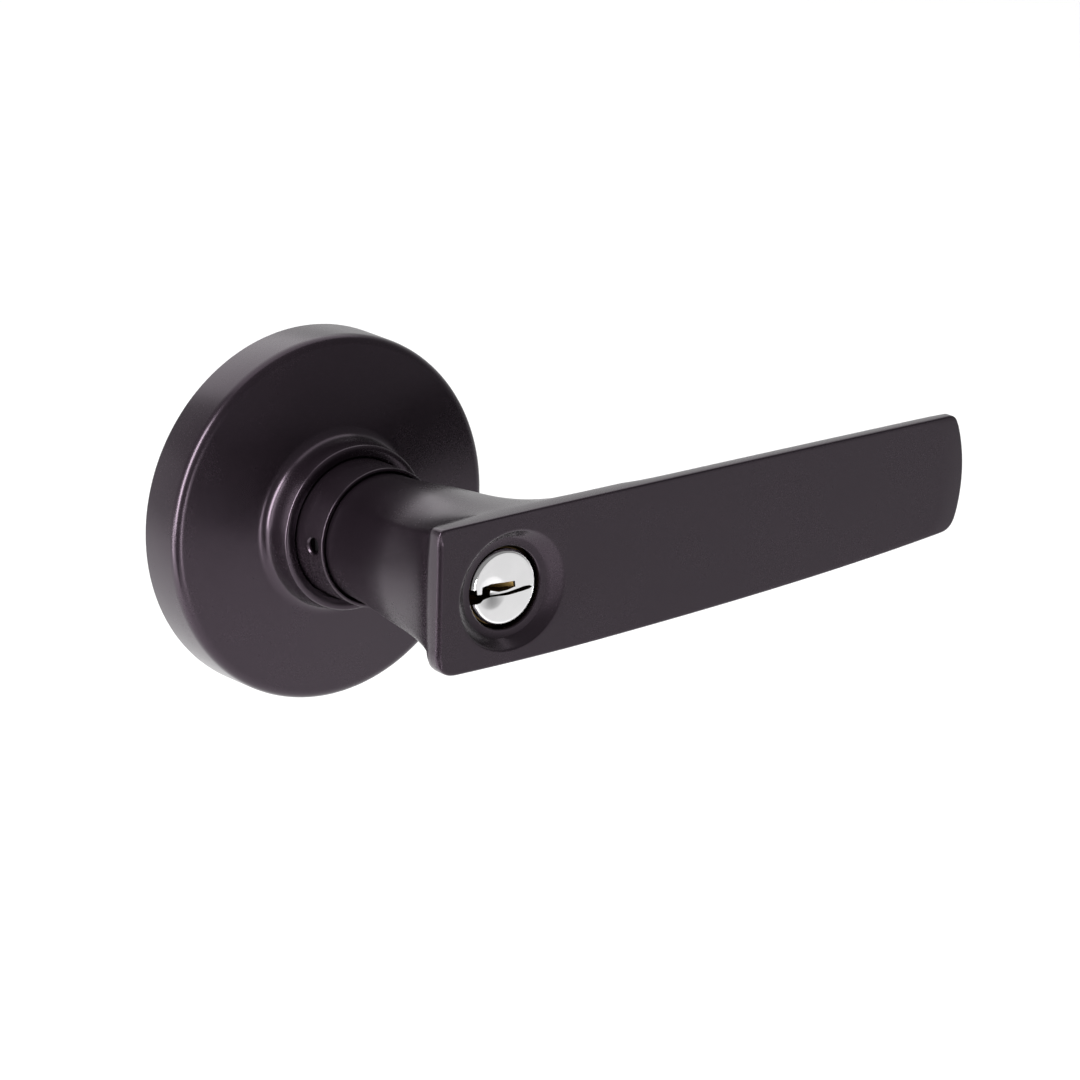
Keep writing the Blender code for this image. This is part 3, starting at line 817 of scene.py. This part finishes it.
def lever_handle():
    """The cast lever, hollow for the spindle and cylinder, with a channel for the pin row."""
    rings = lever_rings()
    verts = [point for ring in rings for point in ring]
    faces = ring_faces(len(rings), len(rings[0]), closed=True)
    handle = piece("lever", verts, faces, BLACK, "lever", ["lever_handle"], 28)
    channel = ((-10.8, -2.3, NECK_BACK - 1), (0, 2.3, POCKET_FRONT - 0.01))
    for low, high in (channel, catch_slot(-14, -8)):
        carve(handle, tool(*block_mesh(low, high)))
    smooth(handle, 28)


# ---------------------------------------------------------------- rose and collar


def rose_cover():
    """The pressed rose: a low cone from its rounded edge up to the hub's tight fillet."""
    edge, inner = ROSE_RADIUS, ROSE_RADIUS - SHEET
    slope = (CONE_DEPTH - ROSE_DEPTH) / CONE_WIDTH
    wall, wall_inner = HUB_RADIUS, HUB_INSIDE
    profile = [
        (HUB_MOUTH, HUB_DEPTH - 0.3, 0.15), (wall_inner, HUB_DEPTH, 0.3), (wall - 0.25, HUB_DEPTH - 0.1, 0.7),
        (wall, 15.6, 1.2), (wall, CONE_DEPTH + slope * 2.1, 2.1), (edge, ROSE_DEPTH - slope * 1.5, 1.75),
        (edge, 0, 0.25), (inner, 0, 0.15), (inner, ROSE_DEPTH - SHEET, 1.0),
        (wall_inner, CONE_DEPTH - SHEET + 0.4, 1.8), (wall_inner, HUB_DEPTH - SHEET, 0.2),
        (HUB_MOUTH, HUB_DEPTH - 1.2, 0.15),
    ]
    verts, faces = lathe_mesh(filleted(profile, 8), 180)
    piece("rose", verts, faces, BLACK, "rose", ["rose_cover"], 40)


def collar():
    """The bush in the hub, with its release hole."""
    front = COLLAR_FRONT
    shoulder = COLLAR_BACK + SHOULDER_LENGTH
    profile = [
        (COLLAR_BORE + 0.15, front, 0.08), (COLLAR_RADIUS, front, 0.45), (COLLAR_RADIUS, 20.0, 0),
        (COLLAR_RADIUS, shoulder, 0.2), (SHOULDER_RADIUS, shoulder, 0.2), (SHOULDER_RADIUS, COLLAR_BACK, 0.2),
        (COLLAR_BORE, COLLAR_BACK, 0.2), (COLLAR_BORE, front - 0.15, 0.1),
    ]
    verts, faces = lathe_mesh(filleted(profile), 180)
    made = piece("collar_bush", verts, faces, BLACK, "rose", ["collar"], 32)
    mouth = RELEASE_RADIUS + 0.3
    hole = [(0, 4), (RELEASE_RADIUS, 4), (RELEASE_RADIUS, 0.3), (mouth, 0.0), (mouth, -3), (0, -3)]
    verts, faces = lathe_mesh(hole, 48, (0, 0, 0), "-x")
    verts = [(-COLLAR_RADIUS - x, y, z + RELEASE_REACH) for x, y, z in verts]
    carve(made, tool(verts, faces))
    smooth(made, 32)


# ---------------------------------------------------------------- pieces fixed to the door


def plate_holes():
    """Centre and radius of each hole that the posts and rivets pass through."""
    holes = [(*middle("threaded_post_" + side)[:2], POST_HOLE) for side in ("left", "right")]
    holes += [(*middle(f"cage_rivet_{number}")[:2], RIVET_HOLE) for number in range(1, 5)]
    return holes


def mounting_plate():
    low, high = PLATE_LOW[2], PLATE_HIGH[2]
    outer, inner = PLATE_HIGH[0], 14.0
    plate = lathe("plate", [(outer, high, 0.3), (outer, low, 0.3), (inner, low, 0.3), (inner, high, 0.3)],
                  ZINC, "rose", "mounting_plate", 160)
    for x, y, radius in plate_holes():
        drill(plate, x, y, radius, low, high)
    smooth(plate, 32)


def spring_cage():
    """A pressed cup for the return spring, with two lugs that stop the lever's turn."""
    low, high = CAGE_LOW[2], CAGE_HIGH[2]
    outer, wall, inner = CAGE_HIGH[0], 25.6, 14.5
    lug_inner, lug_height = 18.4, 2.9
    profile = [
        (wall, high, 0.4), (wall, low + 1, 0.5), (outer, low + 1, 0.3), (outer, low, 0.3), (inner, low, 0.3),
        (inner, low + 1, 0.3), (wall - 1, low + 1, 0.5), (wall - 1, high, 0.4),
    ]
    cage = lathe("cage", profile, ZINC, "rose", "spring_cage", 160)
    for turn in (90, 270):
        lug = [polar(lug_inner + 0.4 * abs(i) / 8, turn + i) for i in range(-8, 9)]
        lug += [polar(wall - 0.4, turn + i) for i in range(8, -9, -1)]
        carve(cage, tool(*prism_mesh(lug, low + 0.5, low + lug_height)), "UNION")
    for x, y, radius in plate_holes():
        drill(cage, x, y, radius, low, low + 1)
    soften(cage, 0.12)


def threaded_posts():
    """Staked posts whose bores are tapped for the through-door screws."""
    tap, pitch, depth = 1.9, 0.79, 0.38
    for side in ("left", "right"):
        low, high = trim_box("threaded_post_" + side)
        centre = middle("threaded_post_" + side)
        radius, start, end = (high[0] - low[0]) / 2, low[2] + 0.45, low[2] + 7.9
        rows = filleted([(0, high[2], 0), (radius, high[2], 0.35), (radius, low[2], 0.45),
                         (tap + 0.25, low[2], 0.1)])
        count = round((end - start) / pitch * 8)
        rows += [(tap, start + (end - start) * i / count) for i in range(count + 1)]
        rows += [(tap, end + 0.2), (0, end + 1.1)]

        def thread(turn, r, z, start=start, end=end):
            if r != tap or not start <= z <= end:
                return 0.0
            ridge = abs((z / pitch - turn) % 1.0 - 0.5) * 2
            ease = min(1.0, (z - start) / pitch, (end - z) / pitch)
            return -depth * ridge * ease

        verts, faces = lathe_mesh(rows, 48, (centre[0], centre[1], 0), "z", thread)
        name = f"tapped_post_{side}"
        piece(name, verts, faces, ZINC, "rose", ["threaded_post_" + side], 50)


def rivets():
    for number in range(1, 5):
        node = f"cage_rivet_{number}"
        low, high = trim_box(node)
        centre = middle(node)
        head, shank = (high[0] - low[0]) / 2, 1.2
        profile = [
            (0, high[2], 0), (head * 0.6, high[2], 1.0), (head, high[2] - 0.75, 0.3),
            (head, high[2] - 1.0, 0.06), (shank, high[2] - 1.0, 0.05), (shank, low[2], 0.2), (0, low[2], 0),
        ]
        lathe(f"domed_rivet_{number}", profile, ZINC, "rose", node, 48,
              (centre[0], centre[1], 0))


def collar_retainer():
    """A thin spring ring with three tabs bent a little inwards."""
    low, high = trim_box("collar_retainer")
    inner, bent = 12.1, 0.5

    def outline(degrees):
        return high[0] - bent * tab(degrees, 120, 12)

    verts, faces = band_mesh(outline, inner, low[2], high[2], 0.12)
    piece("retainer", verts, faces, SPRING_WIRE, "rose", ["collar_retainer"], 40)


def spindle_bearing():
    """A moulded bearing ring with a groove round its rim."""
    low, high = trim_box("spindle_bearing")
    outer, inner = high[0], SPINDLE_RADIUS + 0.35
    centre = (low[2] + high[2]) / 2
    profile = [
        (outer, high[2], 0.3), (outer, centre + 0.35, 0.08), (outer - 0.45, centre + 0.25, 0.08),
        (outer - 0.45, centre - 0.25, 0.08), (outer, centre - 0.35, 0.08), (outer, low[2], 0.3),
        (inner, low[2], 0.3), (inner, high[2], 0.3),
    ]
    lathe("bearing_ring", profile, NYLON, "rose", "spindle_bearing", 128)


def return_spring():
    """A flat coil whose two ends turn in towards the spindle."""
    low, high = trim_box("return_spring")
    wire = 0.5
    radius, turns, per_turn = high[0] - wire, 1.9, 90
    first, last = low[2] + wire, high[2] - wire
    count = int(turns * per_turn)
    path = []
    for i in range(count + 1):
        share = i / count
        from_end = min(i, count - i)
        bend = 1 - smooth_step(from_end / 5)
        path.append((*polar(radius - 2.6 * bend, 360 * i / per_turn), first + (last - first) * share))
    verts, faces = tube_mesh(path, wire, 14)
    piece("spring_coil", verts, faces, SPRING_WIRE, "rose", ["return_spring"], 50)


# ---------------------------------------------------------------- pieces that turn with the lever


def spindle():
    """The turning sleeve: a slot for the catch, and a fork behind for the inside half."""
    sleeve = lathe("spindle_sleeve", [
        (SPINDLE_RADIUS, SPINDLE_HIGH[2], 0.35), (SPINDLE_RADIUS, SPINDLE_LOW[2], 0.45),
        (SPINDLE_BORE, SPINDLE_LOW[2], 0.2), (SPINDLE_BORE, SPINDLE_HIGH[2], 0.2),
    ], ZINC, "lever", "spindle", 128)
    across, half_width, length = TAIL_SLOT
    fork = ((-across, -half_width, SPINDLE_LOW[2] - 1), (across, half_width, SPINDLE_LOW[2] + length))
    for low, high in (catch_slot(-across, -6), fork):
        carve(sleeve, tool(*block_mesh(low, high)))
    soften(sleeve, 0.15, 60)


def driver_plate():
    """A stamped plate with two broad ears that meet the cage's lugs."""
    low, high = trim_box("driver_plate")
    ear, waist, half_angle = high[0], 17.6, 31.6

    def outline(degrees):
        away = abs((degrees + 90) % 180 - 90)
        return waist + (ear - waist) * smooth_step((half_angle - away) / 2.2)

    verts, faces = band_mesh(outline, SPINDLE_RADIUS + 0.3, low[2], high[2], 0.15, 480)
    piece("driver", verts, faces, ZINC, "lever", ["driver_plate"], 40)


def clips():
    """The spindle's circlip and the cylinder's snap ring, each open on one side."""
    low, high = trim_box("spindle_circlip")
    outer, lug = (high[0] - low[0]) / 2, 0.7

    def outline(degrees):
        thinned = outer - lug * (1 - math.sin(math.radians(degrees))) / 2
        return thinned + lug * tab(degrees + 68, 360, 10) + lug * tab(degrees + 112, 360, 10)

    verts, faces = band_mesh(outline, SPINDLE_RADIUS + 0.3, low[2], high[2], 0.15)
    clip = piece("circlip", verts, faces, SPRING_WIRE, "lever", ["spindle_circlip"], 40)
    carve(clip, tool(*block_mesh((-2, -14, low[2] - 1), (2, -8, high[2] + 1))))
    soften(clip, 0.1, 60)

    low, high = trim_box("cylinder_clip")
    verts, faces = band_mesh(high[0], 7.35, low[2], high[2], 0.2)
    clip = piece("snap_ring", verts, faces, SPRING_WIRE, "lever", ["cylinder_clip"], 40)
    carve(clip, tool(*block_mesh((-12, -2.6, low[2] - 1), (-5, 2.6, high[2] + 1))))
    soften(clip, 0.1, 60)


def lever_catch():
    """The catch behind the release hole, and the leaf spring that holds it out."""
    low, high = CATCH_LOW, CATCH_HIGH
    nose = 0.5
    side = [
        (low[0], low[2] + nose), (low[0] + nose, low[2]), (high[0], low[2]), (high[0], high[2]),
        (low[0] + nose, high[2]), (low[0], high[2] - nose),
    ]
    verts, faces = prism_mesh(side, low[1], high[1])
    verts = [(x, z, y) for x, y, z in verts]
    catch = piece("catch", verts, faces, BLACKENED, "catch", ["lever_catch"])
    soften(catch, 0.15)

    low, high = trim_box("catch_spring")
    thick, count = 0.4, 40
    line = []
    for i in range(count + 1):
        share = i / count
        lean = smooth_step((share - 0.15) / 0.55)
        line.append((low[0] + thick / 2 + (high[0] - low[0] - thick) * lean,
                     low[2] + (high[2] - low[2]) * share))
    side = [(x + thick / 2, z) for x, z in line] + [(x - thick / 2, z) for x, z in reversed(line)]
    verts, faces = prism_mesh(side, low[1], high[1])
    verts = [(x, z, y) for x, y, z in verts]
    leaf = piece("leaf_spring", verts, faces, SPRING_WIRE, None, ["catch_spring"], 40)
    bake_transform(leaf)


# ---------------------------------------------------------------- the key cylinder


def pin_reach(number):
    return middle(f"key_pin_{number}")[2]


def chamber_bores(thing, start, end):
    """Drills the pin chambers, between two distances from the axis."""
    for number in range(1, PIN_COUNT + 1):
        profile = [(0, start), (CHAMBER_RADIUS, start), (CHAMBER_RADIUS, end), (0, end)]
        verts, faces = lathe_mesh(profile, 40, (0, 0, pin_reach(number)), "-x")
        carve(thing, tool(verts, faces, MILLED_BRASS))


def cylinder_shell():
    """The brass barrel round the plug, with the row of pin chambers down its left side."""
    inner = PLUG_RADIUS + 0.3
    # The barrel takes the dark brass, a painted shade for the gap round the plug.
    barrel = lathe("barrel", [
        (inner + 0.3, SHELL_FRONT, 0.1), (SHELL_RADIUS, SHELL_FRONT - 1.8, 0.1),
        (SHELL_RADIUS, SHELL_BACK, 0.3), (inner, SHELL_BACK, 0.2), (inner, SHELL_FRONT, 0.1),
    ], SHELL_SHADE_BRASS, "lever", "cylinder_shell", 128)
    row = block_mesh((SHELL_LOW[0], -ROW_HALF, SHELL_BACK), (ROW_RIGHT, ROW_HALF, SHELL_FRONT))
    carve(barrel, tool(*row), "UNION")
    chamber_bores(barrel, 5, (SHELL_HIGH[1] - SHELL_LOW[1]) / 2 + 4)
    smooth(barrel, 32)
    low, high = trim_box("chamber_cover")
    verts, faces = block_mesh(low, high)
    cover = piece("cover_strip", verts, faces, MILLED_BRASS, "lever", ["chamber_cover"])
    soften(cover, 0.15)


def keyway_outline():
    """The warded keyway: open at the plug's left edge, with a tooth above and a tongue from the right."""
    return [
        (-8.0, 0.75), (-5.8, 0.55), (-5.7, -0.33), (-4.65, -0.45), (-4.6, 0.8), (-2.5, 1.05), (2.3, 0.8),
        (2.4, -0.25), (0.7, -0.55), (-1.0, -0.65), (-2.65, -0.2), (-2.75, -1.0), (-1.0, -1.02),
        (0.9, -0.92), (2.9, -0.68), (4.2, -0.50), (5.4, -0.54), (6.0, -0.85), (5.4, -1.16), (4.0, -1.32),
        (2.0, -1.46), (0.9, -1.5), (-1.0, -1.4), (-2.6, -1.32), (-4.4, -1.48), (-5.1, -1.93),
        (-6.4, -2.02), (-8.0, -1.42),
    ]


def dimple(x, y):
    """Depth of the shallow cone that guides the key, at a point of the plug's face."""
    away = math.hypot(x - DIMPLE_MIDDLE[0], y - DIMPLE_MIDDLE[1]) / DIMPLE_RADIUS
    return DIMPLE_DEPTH * max(0.0, 1 - away) ** 1.3


def key_plug():
    """A brass plug with a plated face, its keyway cut along it."""
    face, front = PLUG_FACE_RADIUS, PLUG_FRONT
    step, waist, back = SHELL_FRONT + 0.3, 34.0, PLUG_LOW[2]
    flat = 44
    rows = [(0, front)] + [((face - 0.5) * i / flat, front) for i in range(1, flat)]
    rows += filleted([
        (face - 0.45, front, 0.08), (face, front - 0.45, 0.08), (face, step, 0.1), (PLUG_RADIUS, step, 0.05),
        (PLUG_RADIUS, waist, 0.1), (5.5, waist, 0.1), (5.5, back, 0.3), (0, back, 0),
    ])
    verts, faces = lathe_mesh(rows, 160)
    verts = [(x, y, z - dimple(x, y) if z == front else z) for x, y, z in verts]
    plug = piece("plug", verts, faces, [CHROME, TURNED_BRASS], "plug", ["key_plug"], 32)
    for polygon in plug.data.polygons:
        polygon.material_index = int(-polygon.center.y < step * MM)
    keyway = prism_mesh(keyway_outline(), waist + 3, front + 1)
    # The keyway's walls take the near-black brass, a painted shade inside the keyway.
    carve(plug, tool(*keyway, KEYWAY_SHADE_BRASS))
    ramp = [(2.6, front - 0.35), (-0.9, front - 3.6), (2.6, front - 5)]
    verts, faces = prism_mesh(ramp, -0.75, 1.15)
    carve(plug, tool([(x, z, y) for x, y, z in verts], faces, MILLED_BRASS), "UNION")
    chamber_bores(plug, 0.8, 8)
    smooth(plug, 32)


def plug_cap():
    """The threaded cap behind the plug, with a milled rim."""
    low, high = trim_box("plug_cap")
    outer, back, front = high[0], low[2], high[2]
    notches, notch_depth, mouth, inner = 36, 0.16, 3.9, 5.9

    def milled(turn, r, _):
        cut = math.cos(2 * math.pi * notches * turn) > 0.2
        return -notch_depth * cut if r > outer - 0.02 else 0.0

    profile = [
        (outer, front, 0.3), (outer, back, 0.4), (mouth, back, 0.2), (mouth, back + 1, 0.1),
        (inner, back + 1, 0.2), (inner, front, 0.2),
    ]
    lathe("milled_cap", profile, TURNED_BRASS, "plug", "plug_cap", 288, wave=milled)


def tailpiece():
    """A disc with a flat bar that reaches back through the spindle."""
    low, high = trim_box("tailpiece")
    disc_back, half, thick, end = 29.9, 3.0, 1.6, 1.2
    bar = [(half, disc_back + 0.6), (half, low[2] + end), (half - end, low[2]), (end - half, low[2]),
           (-half, low[2] + end), (-half, disc_back + 0.6)]
    verts, faces = prism_mesh(bar, -thick / 2, thick / 2)
    verts = [(x, z, y) for x, y, z in verts]
    disc = [(0, high[2], 0), (high[0], high[2], 0.2), (high[0], disc_back, 0.2), (0, disc_back, 0)]
    tail = lathe("tail", disc, MILLED_BRASS, "plug", "tailpiece", 96)
    carve(tail, tool(verts, faces, MILLED_BRASS), "UNION")
    soften(tail, 0.15, 60)


def pins():
    """Pointed key pins, spool-shaped driver pins and their springs, one of each to a chamber."""
    for number in range(1, PIN_COUNT + 1):
        node = f"key_pin_{number}"
        low, high = trim_box(node)
        centre = (low[0], 0, pin_reach(number))
        radius, length = (high[1] - low[1]) / 2, high[0] - low[0]
        profile = [
            (0, 0, 0), (radius, 0, 0.12), (radius, 0.8 - length, 0.15), (0.35, -length, 0.15),
            (0, -length, 0),
        ]
        lathe(f"pointed_pin_{number}", profile, TURNED_BRASS, node, node, 48, centre, "-x")

        node = f"driver_pin_{number}"
        low, high = trim_box(node)
        centre = (low[0], 0, pin_reach(number))
        length, waist = high[0] - low[0], radius - 0.22
        profile = [
            (0, 0, 0), (radius, 0, 0.12), (radius, -0.35, 0.04), (waist, -0.45, 0.05),
            (waist, 0.55 - length, 0.05), (radius, 0.45 - length, 0.04), (radius, -length, 0.12),
            (0, -length, 0),
        ]
        lathe(f"spool_pin_{number}", profile, ZINC, node, node, 48, centre, "-x")
        pin_spring(number)


def pin_spring(number):
    """A small coil between a driver pin and the chamber cover."""
    node = f"pin_spring_{number}"
    low, high = trim_box(node)
    wire, turns, per_turn = 0.17, 2.5, 28
    radius = (high[1] - low[1]) / 2 - wire
    count = int(turns * per_turn)
    path = []
    for i in range(count + 1):
        along_wire = smooth_step(i / count)
        x = high[0] - wire - (high[0] - low[0] - 2 * wire) * along_wire
        y, z = polar(radius, 360 * i / per_turn)
        path.append((x, y, z + pin_reach(number)))
    verts, faces = tube_mesh(path, wire, 10)
    made = piece(f"chamber_spring_{number}", verts, faces, SPRING_WIRE, "lever", [node], 50)
    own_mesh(made)


# ---------------------------------------------------------------- stage


def studio_card(name, low, high, height, grey):
    """A flat matt card that lies level in the studio."""
    card = bpy.data.meshes.new(name)
    corners = [(low[0], low[1]), (high[0], low[1]), (high[0], high[1]), (low[0], high[1])]
    card.from_pydata([(x, y, height) for x, y in corners], [], [(0, 1, 2, 3)])
    look = Shader(name)
    look.set(base_color=(grey, grey, grey), roughness=0.9, specular_ior_level=0.1)
    card.materials.append(look.material)
    made = bpy.data.objects.new(name, card)
    bpy.context.scene.collection.objects.link(made)
    return made


def studio():
    """A pale floor below the object, a dark card off to its left, and soft light round it."""
    low = CAD_BOX[0][2] - FLOOR_DROP
    studio_card("pale_floor", (-FLOOR_HALF, -FLOOR_HALF), (FLOOR_HALF, FLOOR_HALF), low, 0.94)
    dark = studio_card("dark_card", (-1.25, -1.0), (-0.35, -0.25), low + 0.002, 0.02)
    dark.visible_camera = False

    world = bpy.data.worlds.new("soft_studio")
    world.use_nodes = True
    tree = world.node_tree
    toward = tree.nodes.new("ShaderNodeTexCoord")
    facing = tree.nodes.new("ShaderNodeVectorMath")
    facing.operation = "DOT_PRODUCT"
    facing.inputs[1].default_value = WORLD_TOWARD
    tree.links.new(toward.outputs["Generated"], facing.inputs[0])
    share = tree.nodes.new("ShaderNodeMapRange")
    share.inputs["From Min"].default_value = 0.1
    share.inputs["From Max"].default_value = 0.8
    share.inputs["To Min"].default_value = 0.3
    share.inputs["To Max"].default_value = 0.95
    tree.links.new(facing.outputs["Value"], share.inputs["Value"])
    tree.nodes["Background"].inputs["Color"].default_value = (1, 1, 1, 1)
    tree.links.new(share.outputs["Result"], tree.nodes["Background"].inputs["Strength"])
    bpy.context.scene.world = world
    bpy.context.scene.view_settings.view_transform = "Standard"
    lever = (0.02, -0.04, 0.0)
    softbox("key_light", lever, (-0.88, -0.15, 0.32), 1.0, (0.35, 1.0), 28)
    softbox("front_light", lever, (-0.10, -0.93, -0.27), 0.8, (0.15, 0.4), 2.2)
    softbox("left_light", lever, (-0.93, 0.22, -0.20), 0.9, (0.2, 0.25), 2.5)
    softbox("side_light", lever, (-0.6, 0.75, -0.02), 0.9, (0.9, 0.55), 0.6)
    softbox("backdrop_light", (0.7, 1.5, low), (-0.05, 0.0, 1.0), 1.9, (4.0, 2.4), 45)


def softbox(name, target, direction, distance, size, power):
    """A rectangular light that faces its target from the given direction."""
    lamp = bpy.data.lights.new(name, "AREA")
    lamp.shape = "RECTANGLE"
    lamp.size, lamp.size_y = size
    lamp.energy = power
    made = bpy.data.objects.new(name, lamp)
    toward = Vector(direction).normalized()
    made.location = Vector(target) + toward * distance
    made.rotation_euler = toward.to_track_quat("Z", "Y").to_euler()
    made.visible_camera = False
    bpy.context.scene.collection.objects.link(made)


def camera():
    """A long lens, to the left of the lever and a little above it."""
    azimuth, elevation = math.radians(CAMERA_AZIMUTH), math.radians(CAMERA_ELEVATION)
    right = Vector((math.cos(azimuth), math.sin(azimuth), 0))
    back = Vector((
        math.sin(azimuth) * math.cos(elevation),
        -math.cos(azimuth) * math.cos(elevation),
        math.sin(elevation),
    ))
    up = back.cross(right)
    lens = bpy.data.cameras.new("camera")
    lens.sensor_width = SENSOR
    lens.lens = CAMERA_LENS
    lens.clip_end = FAR_CLIP
    made = bpy.data.objects.new("camera", lens)
    across, above, away = CAMERA_OFFSET
    made.location = right * across + up * above + back * away
    made.rotation_euler = (math.pi / 2 - elevation, 0, azimuth)
    bpy.context.scene.collection.objects.link(made)
    bpy.context.scene.camera = made


camera()
studio()
rose_cover()
collar()
mounting_plate()
spring_cage()
threaded_posts()
rivets()
collar_retainer()
spindle_bearing()
return_spring()
lever_handle()
spindle()
driver_plate()
clips()
lever_catch()
cylinder_shell()
key_plug()
plug_cap()
tailpiece()
pins()
